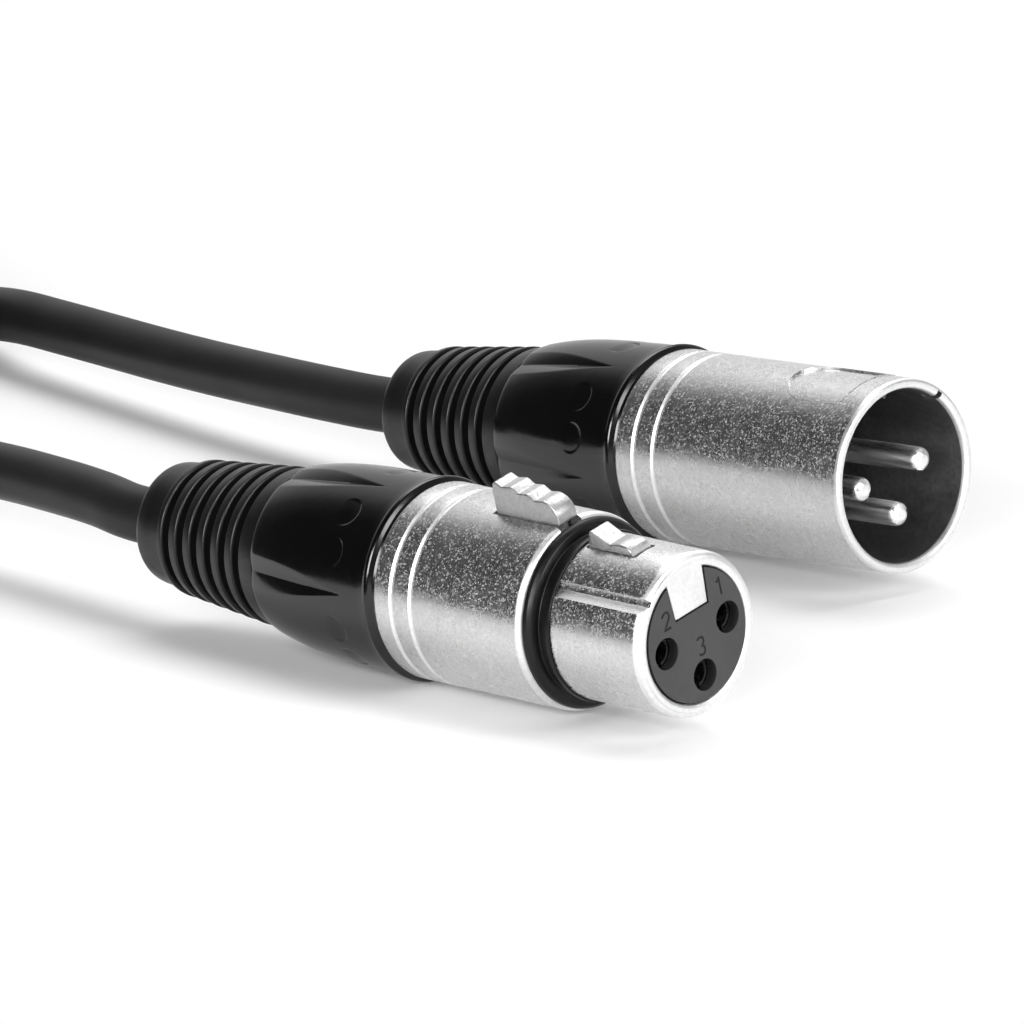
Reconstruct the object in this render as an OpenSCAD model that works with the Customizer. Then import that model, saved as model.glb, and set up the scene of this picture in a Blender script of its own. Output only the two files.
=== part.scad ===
// Microphone lead with a latching three-pole socket connector and a three-pole plug connector.
// +X runs along the connectors towards their mating faces, +Z is up and z = 0 is the table.
// Each connector is drawn with the centre of its front face at the origin and its body towards -X.

/* [Shells] */
// Outer diameter of both metal shells
shell_d = 19; // [17:0.1:23]
// Wall of the shells round their rear bore
rear_wall = 1.2; // [0.9:0.05:1.6]
// Length of the socket shell from its front face to its back edge
female_len = 33.4; // [31:0.1:40]
// Length of the plug shell
male_len = 30; // [28:0.1:36]
// Outer diameter of the socket shell's nose
nose_d = 16; // [15.4:0.1:16.4]
// Length of the nose in front of the wide part
nose_len = 14.65; // [13.5:0.05:15.5]
// Bore of the plug shell's mouth
mouth_d = 17; // [16.6:0.05:17.4]
// Depth of the plug shell's mouth
mouth_depth = 16.4; // [15:0.1:18]
// Distance of the front turned line from the shell's back edge
line_front = 4.9; // [4:0.1:6]
// Distance of the rear turned line from the shell's back edge
line_back = 2.35; // [1.6:0.05:3]
// Width of a turned line
line_w = 0.6; // [0.3:0.05:0.9]

/* [Contacts] */
// Diameter of the plug's pins
pin_d = 2.4; // [2:0.05:2.6]
// Distance of contacts 1 and 2 from the axis
side_offset = 4.22; // [3.9:0.01:4.5]
// Distance of contact 3 from the axis
low_offset = 4.09; // [3.8:0.01:4.4]
// Wall of a socket contact
contact_wall = 0.55; // [0.4:0.05:0.7]
// Distance of the pin tips behind the plug's rim
pin_setback = 1.38; // [0.8:0.01:2]

/* [Inserts] */
// Diameter of the socket insert's front
insert_d = 12.9; // [12.7:0.05:13.4]
// Gap round a pin in the holes of the insert's face
face_hole_gap = 0.35; // [0.1:0.05:0.4]
// Depth of the engraved numerals
numeral_depth = 0.12; // [0.05:0.01:0.25]
// Height of the engraved numerals
numeral_h = 1.8; // [1.2:0.1:2.2]

/* [Latch] */
// Width of the latch lever
latch_w = 2.5; // [2:0.1:3]
// Gap each side of the lever
latch_gap = 0.2; // [0.12:0.01:0.3]
// Height of the hook's tooth above the nose
tooth_h = 1.6; // [1:0.05:1.9]
// Height of the button's rear crest above the shell
button_h = 3.25; // [2.4:0.05:4]
// Length of the button along the shell
button_len = 8.15; // [7:0.05:9]
// Length of the hook
hook_len = 5.4; // [4.6:0.1:6]
// Distance of the pivot in front of the insert's back
pivot_inset = 1.8; // [1.5:0.1:2.4]
// Diameter of the pivot pin
pivot_d = 1.2; // [1:0.05:1.4]

/* [Tail] */
// Height of the bushing's rim above the shell
rim_rise = 0.4; // [0.2:0.05:0.8]
// Visible length of the bushing
bushing_len = 17.95; // [16:0.05:22]
// Length of the bushing's threaded spigot
spigot_len = 5; // [4:0.1:5.5]
// Bore of the bushing
bushing_bore = 12.2; // [11.4:0.1:13]
// Number of V-shaped hollows round the bushing
panel_count = 5; // [4:1:6]
// Visible length of the boot
boot_len = 18.35; // [16:0.05:21]
// Diameter of the boot where it meets the bushing
boot_front_d = 15.9; // [14.8:0.1:16]
// Diameter of the boot's collar at its back
boot_back_d = 11.1; // [10:0.1:12]
// Number of grooves round the boot
groove_count = 6; // [4:1:7]
// Distance between grooves
groove_pitch = 2.1; // [1.9:0.05:2.2]
// Depth of a groove
groove_depth = 0.85; // [0.4:0.05:1.2]

/* [Cable] */
// Diameter of the cable
cable_d = 5.5; // [4.5:0.1:6.8]
// Turns in the coil, in two layers
coil_turns = 6.56; // [4.56:1:8.56]
// Radius of the coil's innermost turn at the middle of the cable
coil_inner_r = 22.3; // [22:0.1:30]
// Gap between neighbouring turns
coil_gap = 0.45; // [0.41:0.01:1]
// Thickness of the strap round the coil
tie_t = 0.8; // [0.5:0.1:1.2]
// Width of the strap round the coil
tie_w = 12; // [8:1:20]

/* [Pose] */
// How far the socket is turned about its own axis
female_roll = 15.5; // [0:0.5:20]
// How far the plug is turned about its own axis
male_roll = 11.6; // [0:0.1:20]
// How far the plug's front is lifted
male_tilt = 3; // [0:0.1:5]

/* [Hidden] */

shell_r = shell_d / 2;
nose_r = nose_d / 2;
mouth_r = mouth_d / 2;
rear_bore_r = shell_r - rear_wall;
insert_r = insert_d / 2;
pin_r = pin_d / 2;
pivot_r = pivot_d / 2;
cable_r = cable_d / 2;
fit_gap = 0.05;
seat_gap = 0.1;
through = 0.5;

// Radii along the shell's outside
edge_r = shell_r - 0.1;
line_depth = 0.2;

// The socket insert: a narrow front in the nose and a flange in the rear bore
face_back = 0.01;
shoulder_x = -nose_len - 1;
flange_r = rear_bore_r - seat_gap;
flange_back = -female_len + spigot_len + seat_gap;
contact_r = pin_r + fit_gap / 5 + contact_wall;
contact_bore_r = pin_r + fit_gap / 5;
contact_seat_r = contact_r + fit_gap;
contact_front = -1.2;
contact_depth = 11;
lead_in_r = pin_r + face_hole_gap;

// The rubber ring in its groove behind the nose
ring_seat_r = nose_r - 0.25;
ring_back = -nose_len + 0.55;
ring_front = ring_back + 2.65;

// The channel over the socket insert that the latch moves in
channel_floor = 2.5;
channel_half = latch_w / 2 + latch_gap;
tongue_half_low = 2.2;
tongue_half_high = 2.5;
tongue_len = 2.1;
tongue_gap = 0.12;

// Latch stations along X and heights above the axis
latch_half = latch_w / 2;
pivot_z = insert_r + 0.15;
boss_r = pivot_r + 0.65;
arm_low = pivot_z - 1.4;
arm_high = insert_r - 0.25;
pivot_x = flange_back + pivot_inset;
hook_back = ring_back + 3.5;
hook_front = hook_back + hook_len;
button_front = -nose_len + 0.2;
button_back = button_front - button_len;
button_under = shell_r - 0.1;
window_back = hook_back - 0.65;
window_front = hook_front + 0.5;

// The spring under the button
spring_x = button_back + 3.6;
spring_r = 1;
spring_wire_r = 0.17;
spring_turns = 4;
spring_low = channel_floor;
spring_high = arm_low;

// The tail: t is the distance behind the shell's back edge
rim_r = shell_r + rim_rise;
rim_t = 1.1;
spigot_r = rear_bore_r - seat_gap;
bushing_bore_r = bushing_bore / 2;
chuck_r = bushing_bore_r - seat_gap;
chuck_front_t = -1.5;
chuck_back_t = 12;
jacket_t = 2.5;
cable_bore_r = cable_r + fit_gap;
boot_front_r = boot_front_d / 2;
boot_back_r = boot_back_d / 2;
boot_spigot_t = 13;
boot_back_t = bushing_len + boot_len;
bushing_back_r = boot_front_r + 0.3;
first_groove_t = bushing_len + 2.55;
solder_t = -spigot_len + 2.6;

// Hollows and thumb dimples of the bushing
hollow_tip_t = 4;
hollow_half = 1.6;
hollow_floor_r = boot_front_r - 0.2;
dimple_t = 4.6;
dimple_r = 1.55;
dimple_turn = 12.5;
female_phase = 6;
male_phase = 20;

// Where the connectors lie on the table, set out from the point where the cable leaves each boot
female_x = -22.14 + female_len + boot_back_t;
female_y = -29.15;
female_z = rim_r;
male_x = -47.298 + (male_len + boot_back_t) * cos(male_tilt);
male_y = 29.14;
male_z = rim_r + (male_len + rim_t) * sin(male_tilt);

// The coil: two layers, the lower one starting at the plug's end of the cable
coil_x = -147;
coil_y = 6;
coil_start = 72;
coil_pitch = cable_d + coil_gap;
coil_low_z = tie_t + seat_gap + cable_r;
coil_rings = 24;
coil_outer_r = coil_inner_r + coil_pitch * coil_turns / 2;

// Routes of the free stretches, from boot to coil
female_route = [
    [-33.3, -28.2, 10.2], [-41.3, -26.7, 10.15], [-50.3, -25.4, 9.95], [-60.3, -24.9, 9.6], [-71.3, -25.3, 9.2],
    [-83.3, -26.8, 8.9], [-97, -29.2, 8.8], [-110, -31.8, 9], [-122, -34, 9.3]
];
male_route = [
    [-60.3, 29.9, 7.45], [-69.3, 31, 7.15], [-79.3, 32.5, 6.8], [-88.3, 34.2, 6.5], [-97.3, 36.1, 6.25],
    [-106.5, 38, 6], [-115.5, 40.2, 5.55]
];

// ---- vectors and swept tubes ----

function unit(v) = v / norm(v);

function ring_dir(p, i) =
    unit(p[min(i + 1, len(p) - 1)] - p[max(i - 1, 0)]);

// A ring of points square to the path, its first point level with the centre
function ring(p, i, r, sides) =
    let (t = ring_dir(p, i), side = unit(cross([0, 0, 1], t)), up = cross(t, side))
    [for (k = [0 : sides - 1]) p[i] + r * (cos(360 * k / sides) * side + sin(360 * k / sides) * up)];

module tube(p, r, sides) {
    n = len(p);
    points = [for (i = [0 : n - 1]) each ring(p, i, r, sides)];
    walls = [
        for (i = [0 : n - 2], k = [0 : sides - 1])
        let (a = i * sides + k, b = i * sides + (k + 1) % sides)
        each [[a, b, b + sides], [a, b + sides, a + sides]]
    ];
    cap_a = [for (k = [1 : sides - 2]) [0, k + 1, k]];
    cap_b = [for (k = [1 : sides - 2]) [(n - 1) * sides, (n - 1) * sides + k, (n - 1) * sides + k + 1]];
    polyhedron(points = points, faces = concat(walls, cap_a, cap_b), convexity = 10);
}

// ---- frames ----

module at_female() {
    translate([female_x, female_y, female_z]) rotate([female_roll, 0, 0]) children();
}

module at_male() {
    translate([male_x, male_y, male_z]) rotate([0, -male_tilt, 0]) rotate([male_roll, 0, 0]) children();
}

// A point on a connector's axis, in the frame of the whole part
function on_female_axis(x) = [female_x + x, female_y, female_z];

function on_male_axis(x) =
    [male_x + x * cos(male_tilt), male_y, male_z + x * sin(male_tilt)];

// A turned solid about X: each point is [radius, x]
module turned(profile) {
    rotate([0, 90, 0]) rotate_extrude($fn = 96) polygon(profile);
}

module rod(r, x0, x1) {
    translate([x0, 0, 0]) rotate([0, 90, 0]) cylinder(r = r, h = x1 - x0, $fn = 48);
}

// A block about the XZ plane
module slab(x0, x1, half, z0, z1) {
    translate([x0, -half, z0]) cube([x1 - x0, 2 * half, z1 - z0]);
}

// ---- contact places ----

contact_places = [[side_offset, 0], [-side_offset, 0], [0, -low_offset]];
pin_places = [[-side_offset, 0], [side_offset, 0], [0, -low_offset]];

module at_place(place) {
    translate([0, place[0], place[1]]) children();
}

// ---- shells ----

function turned_line(x) = [
    [shell_r, x + line_w / 2],
    [shell_r - line_depth, x + line_w / 6],
    [shell_r - line_depth, x - line_w / 6],
    [shell_r, x - line_w / 2]
];

module tongue(extra) {
    half_low = tongue_half_low + extra;
    half_high = tongue_half_high + extra;
    low = channel_floor - extra;
    outline = [[low, -half_low], [insert_r + 0.3, -half_high], [insert_r + 0.3, half_high], [low, half_low]];
    rotate([0, -90, 0]) linear_extrude(tongue_len + extra) polygon(outline);
}

module female_shell() {
    bore_r = insert_r + seat_gap;
    outline = concat(
        [
            [bore_r, -0.15],
            [nose_r - 0.65, 0],
            [nose_r - 0.55, -0.2],
            [nose_r - 0.4, -0.22],
            [nose_r - 0.12, -0.5],
            [nose_r, -1],
            [nose_r, ring_front],
            [ring_seat_r, ring_front],
            [ring_seat_r, ring_back],
            [shell_r - 0.4, ring_back],
            [shell_r - 0.12, -nose_len + 0.3],
            [shell_r, -nose_len]
        ],
        turned_line(-female_len + line_front),
        turned_line(-female_len + line_back),
        [
            [shell_r, -female_len + 0.25],
            [edge_r, -female_len],
            [rear_bore_r, -female_len],
            [rear_bore_r, shoulder_x],
            [bore_r, shoulder_x]
        ]
    );
    color([0.78, 0.77, 0.75]) at_female() difference() {
        union() {
            turned(outline);
            intersection() {
                translate([-0.1, 0, 0]) tongue(0);
                rod(bore_r + 0.2, -tongue_len - 1, 0);
            }
        }
        slab(window_back, window_front, channel_half, nose_r - 2.5, nose_r + 1);
        slab(button_back - 0.45, ring_back + 0.01, channel_half, nose_r - 0.4, shell_r + 1);
        slab(button_back - 0.45, shoulder_x - 0.01, channel_half, insert_r - 1, shell_r + 1);
        rotate([45, 0, 0]) slab(-nose_len + 0.55, 1, 0.8, nose_r - 0.45, nose_r + 1);
    }
}

module male_shell() {
    outline = concat(
        [
            [mouth_r, -0.5],
            [mouth_r + 0.12, -0.15],
            [mouth_r + 0.35, 0],
            [shell_r - 0.35, 0],
            [shell_r - 0.1, -0.15],
            [shell_r, -0.5]
        ],
        turned_line(-male_len + line_front + 0.25),
        turned_line(-male_len + line_back + 0.15),
        [
            [shell_r, -male_len + 0.25],
            [edge_r, -male_len],
            [rear_bore_r, -male_len],
            [rear_bore_r, -mouth_depth],
            [mouth_r, -mouth_depth]
        ]
    );
    badge_front = -3.2;
    badge_back = -12.05;
    badge_half = 3.8;
    color([0.78, 0.77, 0.75]) at_male() {
        difference() {
            turned(outline);
            difference() {
                union() {
                    slab(badge_back + badge_half, badge_front, badge_half, 0, shell_r + 1);
                    translate([badge_back + badge_half, 0, 0])
                        cylinder(r = badge_half, h = shell_r + 1, $fn = 48);
                }
                rod(shell_r - 0.18, badge_back - 1, badge_front + 1);
            }
            slab(-8.4, -5, channel_half + 0.2, mouth_r - 1, shell_r - 0.5);
        }
        intersection() {
            rotate([-45, 0, 0]) slab(-mouth_depth + 0.01, -0.9, 0.75, mouth_r - 0.9, mouth_r + 0.3);
            rod(mouth_r + 0.2, -mouth_depth, 0);
        }
    }
}

// ---- numerals on the socket insert ----

function arc_points(r, a0, a1) = [for (k = [0 : 8]) let (a = a0 + (a1 - a0) * k / 8) r * [cos(a), sin(a)]];

stroke_w = 0.26;

module arc_stroke(r, a0, a1) {
    polygon(concat(arc_points(r + stroke_w / 2, a0, a1), arc_points(r - stroke_w / 2, a1, a0)));
}

module line_stroke(a, b) {
    d = b - a;
    translate(a) rotate(atan2(d[1], d[0])) translate([0, -stroke_w / 2]) square([norm(d), stroke_w]);
}

module numeral(n) {
    h = numeral_h / 2;
    bow = numeral_h / 4;
    if (n == 1) {
        line_stroke([0, -h], [0, h]);
        line_stroke([-0.4, h - 0.45], [0.05, h - 0.02]);
    }
    if (n == 2) {
        translate([0, h - bow]) arc_stroke(bow, -30, 175);
        line_stroke([bow * 0.87, bow / 2], [-bow, -h + 0.1]);
        line_stroke([-bow, -h + stroke_w / 2], [bow, -h + stroke_w / 2]);
    }
    if (n == 3) {
        translate([0, h - bow]) arc_stroke(bow, -90, 150);
        translate([0, -h + bow]) arc_stroke(bow, -150, 90);
    }
}

// Stands a flat drawing upright on the face that looks along +X
module on_face(y, z) {
    translate([-face_back - numeral_depth, y, z]) rotate([90, 0, 90]) children();
}

// ---- inserts ----

module female_insert() {
    color([0.2, 0.2, 0.21]) at_female() difference() {
        union() {
            rod(insert_r, shoulder_x - 0.1, -face_back);
            rod(flange_r, flange_back, shoulder_x - 0.1);
        }
        slab(flange_back - through, -tongue_len - 0.2, channel_half, channel_floor, shell_r);
        translate([through, 0, 0]) scale([2, 1, 1]) tongue(tongue_gap);
        for (place = contact_places) at_place(place) {
            rod(contact_seat_r, flange_back - through, contact_front);
            rod(lead_in_r, contact_front - 0.1, through);
        }
        translate([pivot_x, 0, pivot_z]) rotate([90, 0, 0])
            cylinder(r = pivot_r + 0.01, h = 4 * flange_r, center = true, $fn = 32);
        rotate([135, 0, 0]) lug_recess(shoulder_x - 1, flange_back, flange_r);
        on_face(4.05, 3.35) linear_extrude(1) numeral(1);
        on_face(-3.45, 3) linear_extrude(1) numeral(2);
        on_face(0.2, -1.2) linear_extrude(1) numeral(3);
    }
}

male_flange_back = -male_len + spigot_len + seat_gap;
shank_r = pin_r + 0.35;
shank_front = -mouth_depth + 0.4;

module male_insert() {
    front = -mouth_depth - seat_gap;
    color([0.16, 0.16, 0.17]) at_male() difference() {
        union() {
            rod(flange_r, male_flange_back, front);
            for (place = pin_places) at_place(place) rod(shank_r + 0.55, front - 1, shank_front);
        }
        for (place = pin_places) at_place(place)
            rod(shank_r + fit_gap, male_flange_back - through, shank_front + through);
        rotate([135, 0, 0]) lug_recess(front - 1, male_flange_back, flange_r);
    }
}

// ---- contacts ----

module solder_cup(x_front, x_back) {
    cup_r = 0.85;
    difference() {
        rod(pin_r, x_back, x_front);
        rod(cup_r, x_back - through, x_front - 0.6);
        translate([0, 0, pin_r]) slab(x_back - through, x_back + 1.2, pin_r, -0.35, pin_r);
    }
}

module female_contact(place) {
    cup_back = -female_len - solder_t;
    color([0.82, 0.76, 0.6]) at_female() at_place(place) {
        difference() {
            rod(contact_r, flange_back + 0.2, contact_front - 0.1);
            rod(contact_bore_r, contact_front - contact_depth, through);
            slab(contact_front - contact_depth + 2, through, 0.15, -contact_r - 1, contact_r + 1);
        }
        solder_cup(flange_back + 0.3, cup_back);
    }
}

module male_pin(place) {
    cup_back = -male_len - solder_t;
    tip = [for (a = [0 : 15 : 90]) [pin_r * sin(a), -pin_setback - 0.9 * (1 - cos(a))]];
    color([0.85, 0.84, 0.8]) at_male() at_place(place) {
        turned(concat(tip, [[pin_r, shank_front], [0, shank_front]]));
        rod(shank_r, male_flange_back + 0.2, shank_front);
        solder_cup(male_flange_back + 0.3, cup_back);
    }
}

// ---- latch ----

// The lever's side: x runs forward and y is the height above the axis
function latch_outline() = [
    [pivot_x, pivot_z - boss_r],
    [button_back, arm_low],
    [hook_front - 0.3, arm_low],
    [hook_front, arm_low + 0.4],
    [hook_front, nose_r - 0.1],
    [hook_front - 0.35, nose_r + 0.45],
    [hook_front - 0.75, nose_r + 0.68],
    [hook_front - 0.32 * hook_len, nose_r + 0.78],
    [hook_front - 0.46 * hook_len, nose_r + 0.66],
    [hook_front - 0.56 * hook_len, nose_r + 0.52],
    [hook_back + 0.2, nose_r + tooth_h],
    [hook_back, nose_r + tooth_h - 0.1],
    [hook_back - 0.35, nose_r - 0.2],
    [hook_back - 0.35, arm_high],
    [shoulder_x - 0.25, arm_high],
    [shoulder_x - 0.25, button_under],
    [button_front - 0.05, button_under],
    [button_front, button_under + 0.2],
    [button_front - 0.1, shell_r + 1],
    [button_front - 0.4, shell_r + 1.55],
    [button_front - 0.9, shell_r + 2],
    [button_front - 1.6, shell_r + button_h - 1.03],
    [button_front - 0.34 * button_len, shell_r + button_h - 1.17],
    [button_front - 0.44 * button_len, shell_r + button_h - 0.64],
    [button_front - 0.59 * button_len, shell_r + button_h - 0.77],
    [button_front - 0.69 * button_len, shell_r + button_h - 0.23],
    [button_front - 0.85 * button_len, shell_r + button_h - 0.42],
    [button_back + 0.35, shell_r + button_h],
    [button_back, shell_r + button_h - 0.3],
    [button_back, pivot_z + 1],
    [pivot_x, pivot_z + boss_r]
];

module female_latch() {
    color([0.8, 0.79, 0.77]) at_female() rotate([90, 0, 0])
        linear_extrude(latch_w, center = true) difference() {
            union() {
                polygon(latch_outline());
                translate([pivot_x, pivot_z]) circle(r = boss_r, $fn = 48);
            }
            translate([pivot_x, pivot_z]) circle(r = pivot_r + fit_gap, $fn = 48);
        }
}

module latch_pin() {
    pin_half = sqrt(pow(flange_r, 2) - pow(pivot_z + pivot_r, 2)) - seat_gap;
    color([0.7, 0.7, 0.7]) at_female() translate([pivot_x, 0, pivot_z]) rotate([90, 0, 0])
        cylinder(r = pivot_r, h = 2 * pin_half, center = true, $fn = 32);
}

module latch_spring() {
    end_gap = 0.02;
    low = spring_low + spring_wire_r + end_gap;
    rise = spring_high - spring_wire_r - end_gap - low;
    steps = spring_turns * 8;
    path = [
        for (k = [0 : steps])
        let (a = 360 * k / 8)
        [spring_x + spring_r * cos(a), spring_r * sin(a), low + rise * k / steps]
    ];
    color([0.6, 0.6, 0.62]) at_female() tube(path, spring_wire_r, 6);
}

// ---- pieces at the front of the socket ----

module female_nose_ring() {
    inner = ring_seat_r + fit_gap;
    back = ring_back + fit_gap;
    outline = [
        [inner, back],
        [nose_r + 1.1, back],
        [nose_r + 1.2, back + 0.15],
        [nose_r + 1.2, back + 0.75],
        [nose_r + 1.08, back + 0.95],
        [nose_r + 0.55, back + 1.15],
        [nose_r + 0.28, back + 1.45],
        [nose_r + 0.25, back + 2.35],
        [nose_r + 0.15, back + 2.55],
        [inner, back + 2.55]
    ];
    color([0.08, 0.08, 0.08]) at_female() turned(outline);
}

// ---- ground lugs ----

lug_half = 1.1;
lug_t = 0.3;

module lug_recess(x_front, x_back, outer_r) {
    slab(x_back - through, x_front + 0.3, lug_half + 0.15, outer_r - 0.8, outer_r + 1);
    slab(x_back - through, x_back + 0.5, lug_half + 0.15, bushing_bore_r - 1.2, outer_r + 1);
}

module lug(x_front, x_back, outer_r) {
    tail_z = bushing_bore_r - 1.1;
    strip_z = outer_r - 0.7;
    slab(x_back + 0.1, x_front, lug_half, strip_z, strip_z + lug_t);
    slab(x_front - 1, x_front, lug_half, strip_z, sqrt(pow(rear_bore_r, 2) - pow(lug_half, 2)) - 0.02);
    slab(x_back + 0.1, x_back + 0.1 + lug_t, lug_half, tail_z, strip_z + lug_t);
    slab(x_back - 2.2, x_back + 0.1 + lug_t, lug_half, tail_z, tail_z + lug_t);
}

module female_ground_lug() {
    color([0.75, 0.7, 0.55]) at_female() rotate([135, 0, 0]) lug(shoulder_x - 1, flange_back, flange_r);
}

module male_ground_lug() {
    front = -mouth_depth - seat_gap - 1;
    color([0.75, 0.7, 0.55]) at_male() rotate([135, 0, 0]) lug(front, male_flange_back, flange_r);
}

// ---- tail pieces, with x = 0 at the shell's back edge ----

module chuck() {
    cage_r = chuck_r - 0.8;
    outline = [
        [cage_r, -chuck_front_t],
        [chuck_r, -chuck_front_t],
        [chuck_r, -chuck_back_t + 4],
        [chuck_r - 0.9, -chuck_back_t],
        [cable_bore_r, -chuck_back_t],
        [cable_bore_r, -jacket_t - 1.5],
        [cage_r, -jacket_t + 0.5]
    ];
    difference() {
        turned(outline);
        for (a = [0, 90]) rotate([a, 0, 0])
            slab(-chuck_back_t - 1, -jacket_t - 2.5, 0.5, -chuck_r - 1, chuck_r + 1);
    }
}

function bushing_radius(t) =
    let (u = (t - 2) / (bushing_len - 2))
    rim_r - 0.25 - 0.25 * u - (rim_r - 0.5 - bushing_back_r) * pow(u, 3.5);

module hollow_cutter() {
    back_x = -bushing_len - 0.5;
    tip_x = -hollow_tip_t;
    plan = [
        [back_x, -hollow_half],
        [back_x + 3, -hollow_half],
        [tip_x - 4, -hollow_half * 0.42],
        [tip_x, 0],
        [tip_x - 4, hollow_half * 0.42],
        [back_x + 3, hollow_half],
        [back_x, hollow_half]
    ];
    side = [
        [back_x, hollow_floor_r],
        [-bushing_len + 1.5, hollow_floor_r],
        [-bushing_len + 5, hollow_floor_r + 0.45],
        [tip_x, bushing_radius(hollow_tip_t)],
        [tip_x, rim_r + 1],
        [back_x, rim_r + 1]
    ];
    intersection() {
        linear_extrude(rim_r + 2) polygon(plan);
        rotate([90, 0, 0]) linear_extrude(4 * hollow_half, center = true) polygon(side);
    }
}

module dimple_cutter() {
    centre_x = -dimple_t - dimple_r;
    translate([0, 0, bushing_radius(dimple_t) - 0.3]) {
        translate([centre_x, 0, 0]) cylinder(r = dimple_r, h = 2, $fn = 48);
        slab(centre_x - 6, centre_x, dimple_r, 0, 2);
    }
}

module bushing(phase) {
    body = [for (t = [2 : 1.6 : bushing_len - 0.9]) [bushing_radius(t), -t]];
    outline = concat(
        [
            [bushing_bore_r, spigot_len],
            [spigot_r - 0.4, spigot_len],
            [spigot_r, spigot_len - 0.4],
            [spigot_r, 0],
            [shell_r - 0.3, -0.08],
            [shell_r - 0.15, -0.35],
            [rim_r - 0.08, -rim_t + 0.25],
            [rim_r, -rim_t],
            [rim_r, -rim_t - 0.3],
            [rim_r - 0.12, -rim_t - 0.6]
        ],
        body,
        [
            [bushing_radius(bushing_len - 0.4), -bushing_len + 0.4],
            [bushing_back_r - 0.15, -bushing_len + 0.05],
            [bushing_bore_r, -bushing_len + 0.05]
        ]
    );
    turn = 360 / panel_count;
    difference() {
        turned(outline);
        for (k = [0 : panel_count - 1]) rotate([phase + turn * k, 0, 0]) {
            hollow_cutter();
            for (side = [-1, 1]) rotate([turn / 2 + side * dimple_turn, 0, 0]) dimple_cutter();
        }
    }
}

function boot_radius(t) = boot_front_r - (t - bushing_len) * 0.095;

module boot() {
    half_groove = 0.42;
    groove_end_t = first_groove_t + (groove_count - 1) * groove_pitch + half_groove;
    grooves = [
        for (k = [0 : groove_count - 1])
        let (t = first_groove_t + k * groove_pitch, r = boot_radius(t))
        each [
            [r, -t + half_groove + 0.15],
            [r - 0.12, -t + half_groove],
            [r - groove_depth, -t + half_groove - 0.12],
            [r - groove_depth, -t - half_groove + 0.12],
            [r - 0.12, -t - half_groove],
            [r, -t - half_groove - 0.15]
        ]
    ];
    outline = concat(
        [
            [cable_bore_r, -boot_spigot_t],
            [bushing_bore_r - seat_gap, -boot_spigot_t],
            [bushing_bore_r - seat_gap, -bushing_len],
            [boot_front_r - 0.15, -bushing_len],
            [boot_front_r, -bushing_len - 0.15]
        ],
        grooves,
        [
            [boot_radius(groove_end_t + 0.9), -groove_end_t - 0.75],
            [boot_back_r + 0.55, -groove_end_t - 0.95],
            [boot_back_r + 0.45, -boot_back_t + 1.5],
            [boot_back_r + 0.25, -boot_back_t + 0.6],
            [boot_back_r - 0.15, -boot_back_t + 0.1],
            [boot_back_r - 0.5, -boot_back_t],
            [cable_bore_r, -boot_back_t]
        ]
    );
    turned(outline);
}

module female_tail() {
    at_female() translate([-female_len, 0, 0]) children();
}

module male_tail() {
    at_male() translate([-male_len, 0, 0]) children();
}

module female_chuck() {
    color([0.12, 0.12, 0.12]) female_tail() chuck();
}

module male_chuck() {
    color([0.12, 0.12, 0.12]) male_tail() chuck();
}

module female_bushing() {
    color([0.1, 0.1, 0.1]) female_tail() bushing(female_phase);
}

module male_bushing() {
    color([0.1, 0.1, 0.1]) male_tail() bushing(male_phase);
}

module female_boot() {
    color([0.18, 0.18, 0.18]) female_tail() boot();
}

module male_boot() {
    color([0.18, 0.18, 0.18]) male_tail() boot();
}

// ---- cores inside the connectors ----

wire_r = 0.65;
core_r = 1.35;

// From the solder cup at its place to the end of the jacket
function wire_path(place) =
    let (end = core_r * unit(place), bend = (2 * place + end) / 3)
    [
        [-solder_t + 1, place[0], place[1]],
        [-solder_t - 0.6, place[0], place[1]],
        [-solder_t - 1.9, bend[0], bend[1]],
        [-jacket_t + 1, end[0], end[1]],
        [-jacket_t + 0.02, end[0], end[1]]
    ];

module female_wire(k, tint) {
    color(tint) female_tail() tube(wire_path(contact_places[k - 1]), wire_r, 8);
}

module male_wire(k, tint) {
    color(tint) male_tail() tube(wire_path(pin_places[k - 1]), wire_r, 8);
}

// ---- cable ----

function ease(u) = let (v = min(max(u, 0), 1)) v * v * (3 - 2 * v);

// Place on the coil after u turns: inwards on the lower layer, then outwards on the upper one
function coil_at(u) =
    let (half = coil_turns / 2, a = coil_start + 360 * u, r = coil_inner_r + coil_pitch * abs(half - u))
    [
        coil_x + r * cos(a),
        coil_y + r * sin(a),
        coil_low_z + coil_pitch * ease((u - half + 0.25) / 0.5)
    ];

coil_steps = round(coil_turns * coil_rings);
coil_loop = [for (k = [0 : coil_steps]) coil_at(k * coil_turns / coil_steps)];

// Level straight ends one cable diameter long
function level_step(a, b) = cable_d * unit([b[0] - a[0], b[1] - a[1], 0]);

coil_in = coil_loop[0] - level_step(coil_loop[0], coil_loop[1]);
coil_out = coil_loop[coil_steps] + level_step(coil_loop[coil_steps - 1], coil_loop[coil_steps]);
coil_path = concat([coil_in], coil_loop, [coil_out]);

coil_least = min([
    for (i = [0 : len(coil_path) - 1], j = [i + coil_rings / 2 : 1 : len(coil_path) - 1])
    norm(coil_path[i] - coil_path[j])
]);
echo(str("coil: least gap between turns ", coil_least - cable_d, " mm"));

function path_len(p, i = 1) = i < len(p) ? norm(p[i] - p[i - 1]) + path_len(p, i + 1) : 0;

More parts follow.
